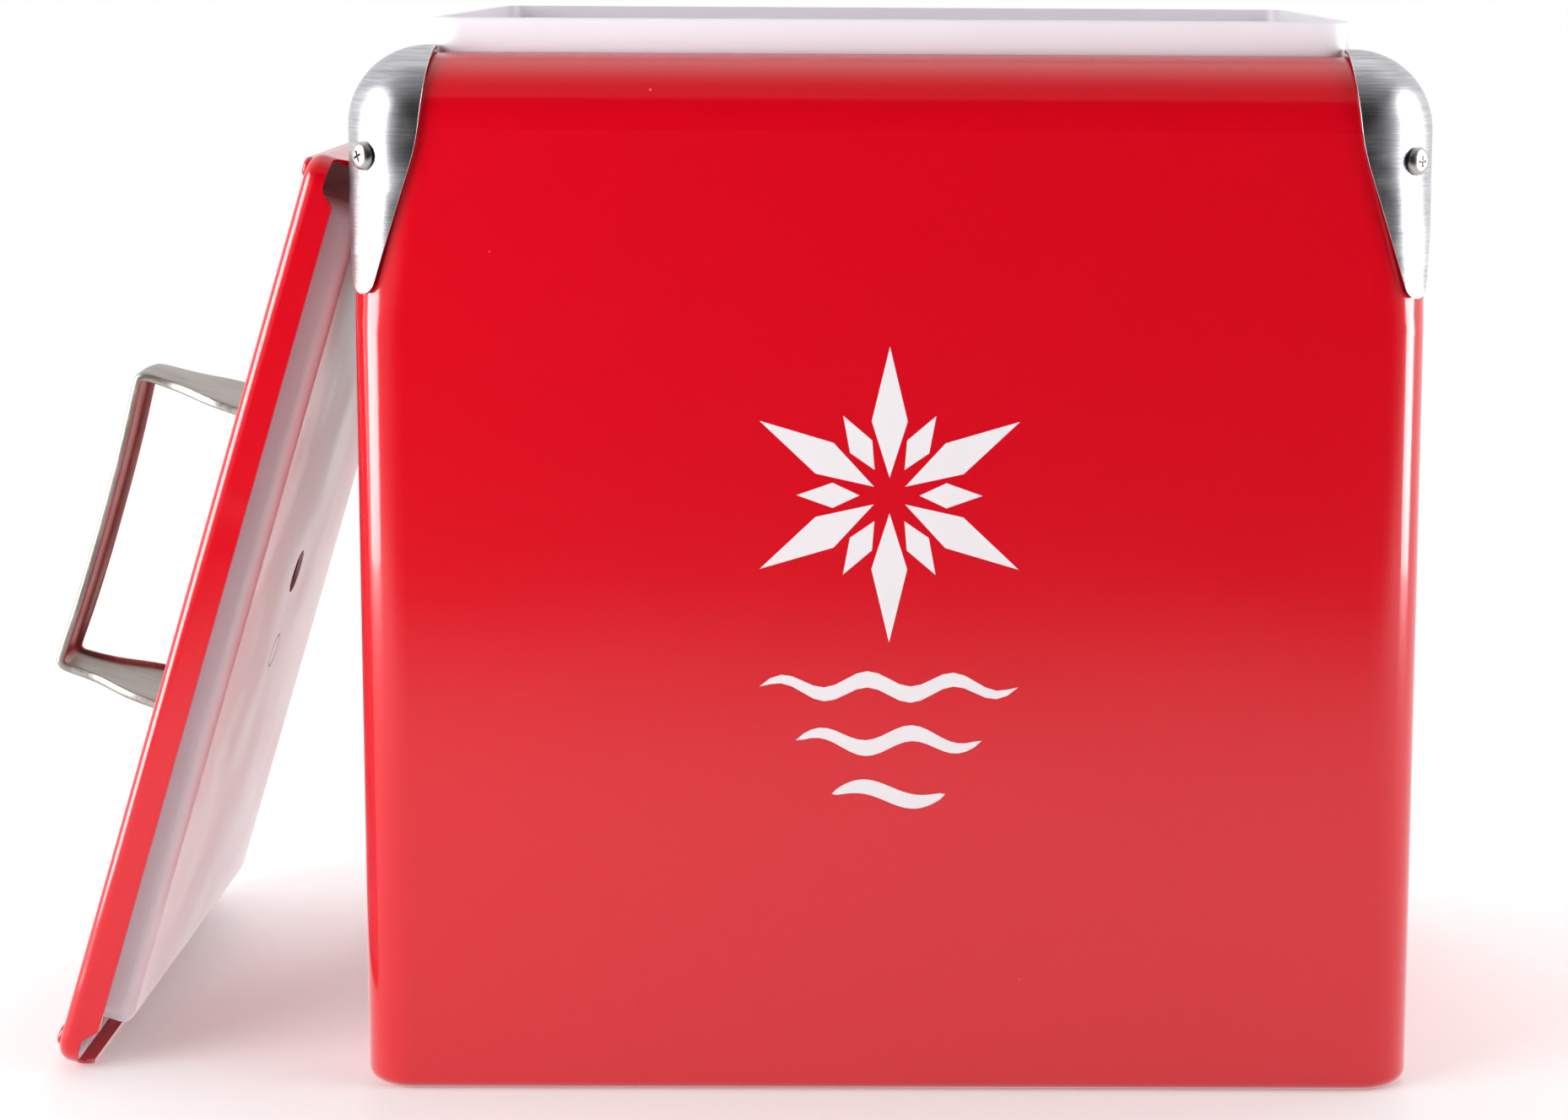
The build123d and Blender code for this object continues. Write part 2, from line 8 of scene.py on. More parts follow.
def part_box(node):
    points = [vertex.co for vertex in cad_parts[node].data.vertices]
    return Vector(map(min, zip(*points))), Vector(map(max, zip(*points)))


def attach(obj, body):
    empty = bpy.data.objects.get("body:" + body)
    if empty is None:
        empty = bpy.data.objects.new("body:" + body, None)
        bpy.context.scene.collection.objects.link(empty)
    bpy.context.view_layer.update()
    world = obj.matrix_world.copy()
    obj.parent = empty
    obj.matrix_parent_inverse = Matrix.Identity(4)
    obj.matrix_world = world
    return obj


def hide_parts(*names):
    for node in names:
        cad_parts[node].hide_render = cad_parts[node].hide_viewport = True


bl_info = {
    "name": "Picnic Cooler",
    "version": (1, 0, 0),
    "blender": (4, 5, 0),
    "location": "View3D > Sidebar > Cooler",
    "description": "Gives the cooler's frame its finishes and fine detail, and sets the studio",
    "category": "Object",
}

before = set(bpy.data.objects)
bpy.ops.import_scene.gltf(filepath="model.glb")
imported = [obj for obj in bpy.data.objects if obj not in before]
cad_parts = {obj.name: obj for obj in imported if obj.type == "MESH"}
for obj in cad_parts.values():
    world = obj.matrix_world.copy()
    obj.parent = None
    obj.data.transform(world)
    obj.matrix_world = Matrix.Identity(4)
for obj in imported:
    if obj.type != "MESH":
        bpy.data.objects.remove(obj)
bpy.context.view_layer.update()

MM = 0.001
FULL_TURN = 2 * pi
WHITE = (1, 1, 1, 1)

# the camera fitted to the photograph, in pixels, millimetres of sensor, metres and radians
PHOTO_WIDTH = 1858
PHOTO_HEIGHT = 1327
FOCAL_PIXELS = 3890.5
LENS_CENTRE = (1114, 478)
SENSOR_WIDTH = 36
CAMERA_PLACE = (0.00613, -1.11101, 0.35792)
CAMERA_PITCH = 0.13932
CAMERA_YAW = 0.00929
CAMERA_ROLL = 0.00568

# name, place, target, width, height, radiance, and whether matt and polished surfaces get it
LIGHTS = (
    ("left_softbox", (-0.9, -0.72, 0.4), (0.1, -0.15, 0.3), 0.8, 0.9, 6.0, True, False),
    ("right_softbox", (1.0, -0.4, 0.4), (-0.2, -0.28, 0.35), 0.7, 0.9, 4.0, True, False),
    ("left_reflector", (-0.9, -0.26, 0.36), (-0.165, -0.11, 0.2), 0.4, 0.72, 12.0, False, True),
    ("right_reflector", (0.9, -0.12, 0.36), (0.165, -0.11, 0.2), 0.34, 0.72, 12.0, False, True),
    ("overhead_softbox", (0, -0.2, 1.5), (0, -0.1, 0), 2.2, 1.9, 0.25, True, True),
    ("back_softbox", (-0.15, 1.1, 0.4), (-0.2, 0, 0.12), 1.2, 0.8, 4.0, True, False),
)

# the table: half its side, its drop under the feet, and how its shine and its glow change
TABLE_HALF_SIDE = 6.0
TABLE_DROP = 0.4 * MM
SHINE_DEPTHS = (-1.0, -0.28)
SHINE_STRENGTH = 0.95
GLOW_DISTANCES = (0.3, 0.75)
GLOW_SHARES = (0.22, 1.0)

# the room behind the table, by the depth that a ray heads for
ROOM_DEPTHS = (-0.45, 0.4)
ROOM_STRENGTHS = (0.03, 0.95)

# the lid in its own frame, with heights up from its skirt's edge
LEAN_DEGREES = 16.8
LID_LENGTH = 303 * MM
LID_HEIGHT = 11.5 * MM
LID_ROUNDING = 0.3 * MM
SKIRT_SHEET = 0.8 * MM
SKIRT_FIT = 0.2 * MM
LINING_FOOT = 4.5 * MM
LINING_TOP = 8.5 * MM
LINING_WALL = 0.9 * MM
LINING_CORNER = 8 * MM

# the cabinet's rolled edges and its corner guards
ROLL_RADIUS = 22.5 * MM
GUARD_STAND = 2.1 * MM
GUARD_ROUNDING = 0.42 * MM
GUARD_SCREW_DROP = 31 * MM
SCREW_HOLE_REACH = 4 * MM
CUT_ANGLE = radians(45)
MERGE = 0.002 * MM

# pan-head screws: the head's profile in shares of its radius and height, shanks as radius, length
HEAD_RADIUS = 4.5 * MM
HEAD_HEIGHT = 2.5 * MM
HEAD_PROFILE = ((0.0, 1.0), (0.35, 0.985), (0.62, 0.93), (0.83, 0.76), (0.96, 0.46), (1.0, 0.16))
HEAD_FOOT = 0.98
HEAD_SEAT = 0.02 * MM
HEAD_STEPS = 48
RECESS_SIZE = (1.15, 0.24, 1.4)
RECESS_TAPER = (0.45, 0.6)
GUARD_SHANK = (2.0 * MM, 12 * MM)
HANDLE_SHANK = (2.5 * MM, 10 * MM)
SCREW_MERGE = 0.005 * MM
SCREW_SHARP_ANGLE = radians(38)
FIRST_TURN_DEGREES = 24
NEXT_TURN_DEGREES = 67

# the strap handle: its feet and screws past its legs, its bends and its half widths
FOOT_REACHES = (14 * MM, 9 * MM)
FOOT_HALF_WIDTH = 29 * MM
FOOT_BEND = 4 * MM
FOOT_BEND_HALF_WIDTHS = (28.9 * MM, 28.7 * MM)
FOOT_BEND_LIPS = (0.1, 0.25)
GRIP_BEND = 5 * MM
GRIP_BEND_HALF_WIDTH = 12.6 * MM
GRIP_HALF_WIDTH = 12.4 * MM
HANDLE_SCREW_REACH = 8.5 * MM
HANDLE_SCREW_ASIDE = 20 * MM
HANDLE_SCREW_SEAT = 1.5 * MM

# millimetres: height over the lid's top and half width up a leg, then place and dip along the grip
LEG_WIDTHS = (
    (8, 26.0), (12, 24.8), (17, 23.9), (22, 22.4), (27, 19.4), (32, 16.0), (37, 13.8), (43, 12.9)
)
GRIP_DIPS = ((44, 0.5), (34, 1.1), (22, 1.5), (10, 1.7))

# the strap's rounded lip, and its crown at the middle and at a share of its half width
LIP_ROUNDING = 1.2 * MM
CROWN = 0.5 * MM
CROWN_SHOULDER = 0.35 * MM
SHOULDER_SHARE = 0.45

# the motif: petals as near, far, half width and waist in shares of the star's radius
MOTIF_CLEARANCE = 0.01 * MM
PETALS = 12
LONG_PETAL = (0.12, 1.0, 0.12, 0.5)
SHORT_PETAL = (0.2, 0.62, 0.085, 0.38)
RIPPLE_SHARES = (1.0, 0.72, 0.44)
RIPPLE_DROP_MM = 14
RIPPLE_PITCH_MM = 17
RIPPLE_LIFT = 2.4 * MM
RIPPLE_HALF_THICKNESS = 2.6 * MM
RIPPLE_STEPS = 24


def srgb(text):
    """Linear colour from an sRGB hex value."""
    parts = [int(text[i : i + 2], 16) / 255 for i in (1, 3, 5)]
    return tuple(p / 12.92 if p <= 0.04045 else ((p + 0.055) / 1.055) ** 2.4 for p in parts)


def feed(tree, socket, value):
    """Link a socket to a source, or set a plain value on it."""
    if isinstance(value, bpy.types.NodeSocket):
        tree.links.new(value, socket)
    else:
        socket.default_value = value


def add_node(tree, kind, settings=None, **sockets):
    """Add a node, give it its settings, and feed its inputs by name."""
    node = tree.nodes.new(kind)
    for name, value in (settings or {}).items():
        setattr(node, name, value)
    for name, value in sockets.items():
        feed(tree, node.inputs[name.replace("_", " ")], value)
    return node


def new_material(name):
    """A material with an empty tree, and the object's coordinates in it."""
    material = bpy.data.materials.new(name)
    material.use_nodes = True
    tree = material.node_tree
    tree.nodes.clear()
    return material, tree, add_node(tree, "ShaderNodeTexCoord").outputs["Object"]


def principled(tree, **sockets):
    """Close a material's tree with its shader and its output."""
    shader = add_node(tree, "ShaderNodeBsdfPrincipled", **sockets)
    add_node(tree, "ShaderNodeOutputMaterial", Surface=shader.outputs[0])


def band(tree, value, low, high, to_low=0.0, to_high=1.0, kind="SMOOTHSTEP"):
    """Map a value from one range to another, held at both ends."""
    return add_node(
        tree,
        "ShaderNodeMapRange",
        {"interpolation_type": kind},
        Value=value,
        From_Min=low,
        From_Max=high,
        To_Min=to_low,
        To_Max=to_high,
    ).outputs["Result"]


def noise(tree, coords, scale, detail, **sockets):
    """Noise with so many cells to the metre."""
    return add_node(
        tree, "ShaderNodeTexNoise", Vector=coords, Scale=scale, Detail=detail, **sockets
    ).outputs["Fac"]


def bump(tree, height, strength, distance, **under):
    """Normals raised by a height, over the normals given."""
    return add_node(
        tree, "ShaderNodeBump", Height=height, Strength=strength, Distance=distance, **under
    ).outputs["Normal"]


def combine(tree, operation, first, second):
    """Join two values by an operation."""
    node = add_node(tree, "ShaderNodeMath", {"operation": operation})
    feed(tree, node.inputs[0], first)
    feed(tree, node.inputs[1], second)
    return node.outputs[0]


def mix_colours(tree, factor, first, second, blend="MIX"):
    """Blend two colours."""
    node = add_node(tree, "ShaderNodeMix", {"data_type": "RGBA", "blend_type": blend})
    # a mix node's colour sockets come after those for plain values and vectors
    for index, value in ((0, factor), (6, first), (7, second)):
        feed(tree, node.inputs[index], value)
    return node.outputs[2]


def uneven(tree, value, roughness, less=0.05, more=0.05):
    """Roughness that follows a noise around its middle value."""
    return band(tree, value, 0.3, 0.7, roughness - less, roughness + more)


def seen_directly(tree):
    """1 for the camera's own rays, straight or through something clear."""
    path = add_node(tree, "ShaderNodeLightPath").outputs
    return combine(tree, "MAXIMUM", path["Is Camera Ray"], path["Is Transmission Ray"])


def paint(material, *node_names):
    """Give CAD nodes their material."""
    for node_name in node_names:
        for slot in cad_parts[node_name].material_slots:
            slot.material = material


def finish_piece(obj, material, body, replaced=(), smooth=True):
    """Give a new piece its material in a slot, put it under its body, and hide the CAD nodes it
    stands for.
    """
    obj.data.materials.append(material)
    for polygon in obj.data.polygons:
        polygon.use_smooth = smooth
    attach(obj, body)
    if replaced:
        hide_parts(*replaced)


def to_object(name, bm):
    """Make an object from a bmesh."""
    mesh = bpy.data.meshes.new(name)
    bm.to_mesh(mesh)
    bm.free()
    obj = bpy.data.objects.new(name, mesh)
    bpy.context.scene.collection.objects.link(obj)
    return obj


def lid_matrix():
    """To the world from the lid's own frame: x up its length, z outwards, origin at its skirt."""
    lean = radians(LEAN_DEGREES)
    along = Vector((sin(lean), 0, cos(lean)))
    outward = Vector((-cos(lean), 0, sin(lean)))
    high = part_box("lid_shell")[1]
    # the skirt's lowest edge stands on the floor, and its upper edge is the shell's nearest point
    # to the cabinet; the origin is half way between them
    origin = Vector((high.x, 0, 0)) - along * (LID_LENGTH / 2)
    origin.z = along.z * LID_LENGTH / 2
    turn = Matrix((along, Vector((0, 1, 0)), outward)).transposed().to_4x4()
    return Matrix.Translation(origin) @ turn


def node_copy(node_name):
    """A merged copy of a CAD node's mesh, in a bmesh."""
    bm = bmesh.new()
    bm.from_mesh(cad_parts[node_name].data)
    bmesh.ops.remove_doubles(bm, verts=bm.verts, dist=MERGE)
    bmesh.ops.dissolve_degenerate(bm, edges=bm.edges, dist=MERGE)
    return bm


def soften_edges(bm, width, skip=None):
    """Round a sheet's cut edges, and return the new faces along them."""
    chosen = [
        e
        for e in bm.edges
        if len(e.link_faces) == 2
        and e.calc_face_angle(0) > CUT_ANGLE
        and not (skip and any(skip(v.co) for v in e.verts))
    ]
    made = bmesh.ops.bevel(
        bm,
        geom=chosen,
        offset=width,
        offset_type="OFFSET",
        affect="EDGES",
        segments=3,
        profile=0.5,
        clamp_overlap=True,
        material=-1,
    )
    rounded = set(made["faces"])
    for face in rounded:
        for edge in face.edges:
            # the flat faces keep their own shading beside the rounding
            edge.smooth = all(f in rounded for f in edge.link_faces)
    return rounded


def even_shading(obj):
    """Keep flat faces flat beside rounded edges."""
    modifier = obj.modifiers.new("shading", "WEIGHTED_NORMAL")
    modifier.keep_sharp = True
    modifier.weight = 50


def solidify(obj, thickness):
    """Give a sheet its thickness, inwards from its faces."""
    modifier = obj.modifiers.new("sheet", "SOLIDIFY")
    modifier.thickness = thickness
    modifier.offset = -1.0
    modifier.use_even_offset = True


def subdivide(obj, levels):
    """Round a piece's form."""
    modifier = obj.modifiers.new("rounding", "SUBSURF")
    modifier.levels = levels
    modifier.render_levels = levels


def nearest(verts, vert):
    """Which of some vertices another lies closest to."""
    return min(range(len(verts)), key=lambda i: (verts[i].co - vert.co).length)


def head_and_shank(shank_radius, shank_length):
    """The plain body of a pan-head screw, pointing up from its seat."""
    profile = [(HEAD_RADIUS * r, HEAD_HEIGHT * h) for r, h in HEAD_PROFILE]
    profile += [
        (HEAD_RADIUS * HEAD_FOOT, HEAD_SEAT),
        (shank_radius, HEAD_SEAT),
        (shank_radius, -shank_length),
        (0.0, -shank_length - shank_radius),
    ]
    bm = bmesh.new()
    verts = [bm.verts.new((r, 0, h)) for r, h in profile]
    edges = [bm.edges.new(pair) for pair in zip(verts, verts[1:])]
    bmesh.ops.spin(
        bm,
        geom=verts + edges,
        cent=(0, 0, 0),
        axis=(0, 0, 1),
        angle=FULL_TURN,
        steps=HEAD_STEPS,
        use_merge=True,
    )
    bmesh.ops.remove_doubles(bm, verts=bm.verts, dist=SCREW_MERGE)
    bmesh.ops.recalc_face_normals(bm, faces=bm.faces)
    return to_object("screw_body", bm)


def recess_cutter():
    """Two crossed wings, tapered downwards, on top of a screw's head."""
    length, width, depth = RECESS_SIZE
    bm = bmesh.new()
    for turn in (0, pi / 2):
        wing = bmesh.ops.create_cube(bm, size=1.0)["verts"]
        size = (HEAD_RADIUS * length, HEAD_RADIUS * width, HEAD_HEIGHT * depth)
        bmesh.ops.scale(bm, vec=size, verts=wing)
        for vert in wing:
            if vert.co.z < 0:
                vert.co.x *= RECESS_TAPER[0]
                vert.co.y *= RECESS_TAPER[1]
        bmesh.ops.rotate(bm, cent=(0, 0, 0), matrix=Matrix.Rotation(turn, 3, "Z"), verts=wing)
    bmesh.ops.translate(bm, vec=(0, 0, HEAD_HEIGHT), verts=bm.verts)
    return to_object("screw_cutter", bm)


def screw_mesh(shank):
    """A pan-head screw with a tapered cross recess."""
    body = head_and_shank(*shank)
    cutter = recess_cutter()
    modifier = body.modifiers.new("recess", "BOOLEAN")
    modifier.operation = "DIFFERENCE"
    modifier.solver = "EXACT"
    modifier.use_self = True
    modifier.object = cutter
    bpy.context.view_layer.update()
    shown = body.evaluated_get(bpy.context.evaluated_depsgraph_get())
    cut = bpy.data.meshes.new_from_object(shown)
    bpy.data.objects.remove(body)
    bpy.data.objects.remove(cutter)
    return cut


def place_screws(name, mesh, seats, material, body, node_name):
    """Copies of one screw on their seats, each turned a little differently."""
    bm = bmesh.new()
    for number, (seat, outward) in enumerate(seats):
        first = len(bm.verts)
        bm.from_mesh(mesh)
        bm.verts.ensure_lookup_table()
        turn = outward.to_track_quat("Z", "Y").to_matrix().to_4x4()
        spin = Matrix.Rotation(radians(FIRST_TURN_DEGREES + NEXT_TURN_DEGREES * number), 4, "Z")
        place = Matrix.Translation(seat) @ turn @ spin
        bmesh.ops.transform(bm, matrix=place, verts=bm.verts[first:])
    piece = to_object(name, bm)
    finish_piece(piece, material, body, (node_name,))
    for edge in piece.data.edges:
        edge.use_edge_sharp = False
    piece.data.set_sharp_from_angle(angle=SCREW_SHARP_ANGLE)


def petal(bm, centre, angle, near, far, half_width, waist):
    """A kite-shaped petal on the front plane, from near to far along an angle."""
    across = Vector((cos(angle + pi / 2), 0, sin(angle + pi / 2)))
    along = Vector((cos(angle), 0, sin(angle)))
    corners = [(near, 0), (waist, half_width), (far, 0), (waist, -half_width)]
    bm.faces.new([bm.verts.new(centre + along * a + across * b) for a, b in corners])


def ripple(bm, front, height, half, waves):
    """A band that waves along the front plane and thins out to both ends."""
    top = []
    bottom = []
    for i in range(RIPPLE_STEPS + 1):
        t = i / RIPPLE_STEPS
        x = -half + 2 * half * t
        lift = RIPPLE_LIFT * sin(FULL_TURN * t * waves)
        thick = RIPPLE_HALF_THICKNESS * sin(pi * t) ** 0.5
        top.append(bm.verts.new((x, front, height + lift + thick)))
        bottom.append(bm.verts.new((x, front, height + lift - thick)))
    for i in range(RIPPLE_STEPS):
        bm.faces.new((bottom[i], bottom[i + 1], top[i + 1], top[i]))


class CoolerHandle(bpy.types.PropertyGroup):
    span: bpy.props.FloatProperty(
        name="Span",
        description="Length over the two legs",
        subtype="DISTANCE",
        default=108 * MM,
    )
    rise: bpy.props.FloatProperty(
        name="Rise",
        description="Height of the grip's outer face over the lid's top",
        subtype="DISTANCE",
        default=50.4 * MM,
    )
    sheet: bpy.props.FloatProperty(
        name="Sheet",
        description="Thickness of the strap",
        subtype="DISTANCE",
        default=1.4 * MM,
    )
    lip: bpy.props.FloatProperty(
        name="Lip",
        description="Depth of the edges turned towards the lid",
        subtype="DISTANCE",
        default=3.2 * MM,
    )


class CoolerFinish(bpy.types.PropertyGroup):
    enamel: bpy.props.FloatVectorProperty(
        name="Enamel",
        description="Colour of the enamelled steel",
        subtype="COLOR",
        default=srgb("#CC0017"),
        min=0,
        max=1,
    )
    liner: bpy.props.FloatVectorProperty(
        name="Liner",
        description="Colour of the moulded liner and the lid's plug",
        subtype="COLOR",
        default=srgb("#EEE9EF"),
        min=0,
        max=1,
    )
    motif: bpy.props.FloatVectorProperty(
        name="Motif",
        description="Colour of the printed front motif",
        subtype="COLOR",
        default=srgb("#E3DFE2"),
        min=0,
        max=1,
    )


class CoolerMotif(bpy.types.PropertyGroup):
    star_radius: bpy.props.FloatProperty(
        name="Star Radius",
        description="Reach of the ice star's long petals",
        subtype="DISTANCE",
        default=46 * MM,
    )
    star_height: bpy.props.FloatProperty(
        name="Star Height",
        description="Height of the ice star's middle over the floor",
        subtype="DISTANCE",
        default=190 * MM,
    )
    ripple_width: bpy.props.FloatProperty(
        name="Ripple Width",
        description="Width of the longest ripple under the star",
        subtype="DISTANCE",
        default=80 * MM,
    )
    film: bpy.props.FloatProperty(
        name="Film",
        description="Thickness of the printed film",
        subtype="DISTANCE",
        default=0.08 * MM,
    )


def red_enamel(name="red_stove_enamel", knocked=False):
    """Stoved enamel on pressed sheet steel: deep gloss, faint orange peel and a slow wave."""
    material, tree, coords = new_material(name)
    # sheet steel never lies quite flat: waves about 70 mm long, with 2 to 3 mm peel over them
    normal = bump(tree, noise(tree, coords, 14.0, 1.0), 0.25, 1.5 * MM)
    normal = bump(tree, noise(tree, coords, 420.0, 1.0), 0.2, 0.06 * MM, Normal=normal)
    if knocked:
        # shallow knocks about 20 mm apart, which a skirt takes as it is set down
        hollow = band(tree, noise(tree, coords, 42.0, 0.0), 0.52, 0.8, 1.0, 0.0)
        normal = bump(tree, hollow, 0.14, 1.5 * MM, Normal=normal)
    # dust in the gloss: specks up to 1 mm across, in a few places only
    specks = add_node(tree, "ShaderNodeTexVoronoi", Vector=coords, Scale=95.0)
    dot = band(tree, specks.outputs["Distance"], 0.018, 0.05, 1.0, 0.0)
    chosen = band(tree, noise(tree, coords, 60.0, 2.0), 0.62, 0.68)
    dust = combine(tree, "MULTIPLY", dot, chosen)
    enamel = (*bpy.context.scene.cooler_finish.enamel, 1)
    principled(
        tree,
        Base_Color=mix_colours(tree, dust, enamel, (*srgb("#E87F8C"), 1)),
        Normal=normal,
        Roughness=0.18,
        IOR=1.5,
        Coat_Weight=0.35,
        Coat_Roughness=0.04,
    )
    return material


def moulded_white(name="white_moulded_polystyrene", roughness=0.37):
    """Injection-moulded polystyrene: satin white, with a little light passing into it."""
    material, tree, coords = new_material(name)
    sink = noise(tree, coords, 22.0, 1.0)
    normal = bump(tree, sink, 0.2, 1.0 * MM)
    normal = bump(tree, noise(tree, coords, 900.0, 2.0), 0.2, 0.05 * MM, Normal=normal)
    principled(
        tree,
        Base_Color=(*bpy.context.scene.cooler_finish.liner, 1),
        Roughness=uneven(tree, sink, roughness),
        Normal=normal,
        IOR=1.55,
        Subsurface_Weight=0.08,
        Subsurface_Radius=(1.0, 0.9, 0.95),
        Subsurface_Scale=2.0 * MM,
    )
    return material


def brushed_metal(name, colour, fine, lengthwise, roughness):
    """Brushed sheet: fine parallel scratches, long along the brushing and close across it."""
    material, tree, coords = new_material(name)
    stretched = add_node(tree, "ShaderNodeMapping", Vector=coords, Scale=lengthwise)
    scratch = noise(tree, stretched.outputs["Vector"], fine, 3.0, Roughness=0.65)
    cloud = noise(tree, coords, 90.0, 2.0)
    shade = band(tree, scratch, 0.35, 0.65, 0.62, 1.0, "LINEAR")
    principled(
        tree,
        Base_Color=mix_colours(tree, 1.0, (*srgb(colour), 1), shade, "MULTIPLY"),
        Roughness=uneven(tree, cloud, roughness),
        Normal=bump(tree, scratch, 0.6, 0.1 * MM),
        Metallic=1.0,
    )
    return material


def bright_metal(name, colour, roughness):
    """Plated or bare metal: bright, with a light mottle from handling."""
    material, tree, coords = new_material(name)
    principled(
        tree,
        Base_Color=(*srgb(colour), 1),
        Roughness=uneven(tree, noise(tree, coords, 500.0, 3.0), roughness, 0.04, 0.06),
        Metallic=1.0,
    )
    return material


def soft_plastic(name, colour, roughness, scale):
    """Matt moulded or foamed plastic with a fine grain."""
    material, tree, coords = new_material(name)
    principled(
        tree,
        Base_Color=(*srgb(colour), 1),
        Normal=bump(tree, noise(tree, coords, scale, 3.0), 0.3, 0.1 * MM),
        Roughness=roughness,
    )
    return material


def printing_ink():
    """Screen-printed gloss ink over the enamel."""
    material, tree, coords = new_material("white_printing_ink")
    principled(
        tree,
        Base_Color=(*bpy.context.scene.cooler_finish.motif, 1),
        Normal=bump(tree, noise(tree, coords, 700.0, 1.0), 0.1, 0.03 * MM),
        Roughness=0.3,
        Coat_Weight=0.2,
        Coat_Roughness=0.08,
    )
    return material


class COOLER_OT_stage(bpy.types.Operator):
    """Set the floor, the soft lights, the world and the camera"""

    bl_idname = "cooler.stage"
    bl_label = "Studio"

    def light(self, name, place, target, width, height, radiance, diffuse, glossy):
        """A soft box of a given brightness, for matt surfaces, polished ones or both."""
        data = bpy.data.lights.new(name, "AREA")
        data.shape = "RECTANGLE"
        data.size = width
        data.size_y = height
        data.energy = radiance * pi * width * height
        obj = bpy.data.objects.new(name, data)
        bpy.context.scene.collection.objects.link(obj)
        obj.visible_diffuse = diffuse
        obj.visible_glossy = glossy
        obj.location = place
        away = Vector(place) - Vector(target)
        obj.rotation_euler = away.to_track_quat("Z", "Y").to_euler()

    def table(self):
        """White table that stays white to the camera and fades away in front for reflections."""
        bm = bmesh.new()
        bmesh.ops.create_grid(bm, x_segments=1, y_segments=1, size=TABLE_HALF_SIDE)
        bmesh.ops.translate(bm, verts=bm.verts, vec=(0, 0, -TABLE_DROP))
        obj = to_object("studio_floor", bm)
        material, tree, coords = new_material("white_table_laminate")
        depth = add_node(tree, "ShaderNodeSeparateXYZ", Vector=coords).outputs["Y"]
        distance = add_node(
            tree, "ShaderNodeVectorMath", {"operation": "LENGTH"}, Vector=coords
        ).outputs["Value"]
        # to the camera it glows in part by the cooler, where its shade shows, and in full far off
        seen_share = band(tree, distance, *GLOW_DISTANCES, *GLOW_SHARES)
        seen_glow = combine(tree, "MULTIPLY", seen_directly(tree), seen_share)
        # to reflections it glows behind and dies away in front, and so does its own white
        glossy = add_node(tree, "ShaderNodeLightPath").outputs["Is Glossy Ray"]
        fade = band(tree, depth, *SHINE_DEPTHS)
        shine = combine(tree, "MULTIPLY", glossy, fade)
        shine_glow = combine(tree, "MULTIPLY", shine, SHINE_STRENGTH)
        white = add_node(
            tree, "ShaderNodeMapRange", Value=glossy, To_Min=1.0, To_Max=fade
        ).outputs["Result"]
        shade = add_node(tree, "ShaderNodeCombineColor", Red=white, Green=white, Blue=white)
        matt = add_node(tree, "ShaderNodeBsdfDiffuse", Color=shade.outputs["Color"])
        glow = add_node(tree, "ShaderNodeEmission", Color=WHITE, Strength=1.0)
        share = combine(tree, "MAXIMUM", seen_glow, shine_glow)
        mixed = add_node(tree, "ShaderNodeMixShader", Fac=share)
        feed(tree, mixed.inputs[1], matt.outputs[0])
        feed(tree, mixed.inputs[2], glow.outputs[0])
        add_node(tree, "ShaderNodeOutputMaterial", Surface=mixed.outputs[0])
        obj.data.materials.append(material)

    def world(self):
        """White behind the object, and a dim room that is dark in front for reflections."""
        world = bpy.data.worlds.new("studio_world")
        bpy.context.scene.world = world
        world.use_nodes = True
        tree = world.node_tree
        tree.nodes.clear()
        coords = add_node(tree, "ShaderNodeTexCoord").outputs["Generated"]
        depth = add_node(tree, "ShaderNodeSeparateXYZ", Vector=coords).outputs["Y"]
        room = band(tree, depth, *ROOM_DEPTHS, *ROOM_STRENGTHS)
        strength = combine(tree, "MAXIMUM", room, seen_directly(tree))
        background = add_node(tree, "ShaderNodeBackground", Strength=strength, Color=WHITE)
        add_node(tree, "ShaderNodeOutputWorld", Surface=background.outputs[0])

    def camera(self):
        """Camera at the photograph's place, fitted to the cabinet's corners and rim."""
        pitch, yaw, roll = CAMERA_PITCH, CAMERA_YAW, CAMERA_ROLL
        forward = Vector((sin(yaw) * cos(pitch), cos(yaw) * cos(pitch), -sin(pitch)))
        right = Vector((cos(yaw), -sin(yaw), 0))
        up = right.cross(forward)
        right, up = cos(roll) * right + sin(roll) * up, cos(roll) * up - sin(roll) * right
        data = bpy.data.cameras.new("camera")
        data.sensor_fit = "HORIZONTAL"
        data.sensor_width = SENSOR_WIDTH
        data.lens = FOCAL_PIXELS / PHOTO_WIDTH * SENSOR_WIDTH
        data.shift_x = (PHOTO_WIDTH / 2 - LENS_CENTRE[0]) / PHOTO_WIDTH
        data.shift_y = (LENS_CENTRE[1] - PHOTO_HEIGHT / 2) / PHOTO_WIDTH
        obj = bpy.data.objects.new("camera", data)
        bpy.context.scene.collection.objects.link(obj)
        turn = Matrix((right, up, -forward)).transposed().to_4x4()
        obj.matrix_world = Matrix.Translation(CAMERA_PLACE) @ turn
        bpy.context.scene.camera = obj

    def execute(self, context):
        self.camera()
        self.table()
        self.world()
        for settings in LIGHTS:
            self.light(*settings)
        context.scene.view_settings.view_transform = "Standard"
        return {"FINISHED"}


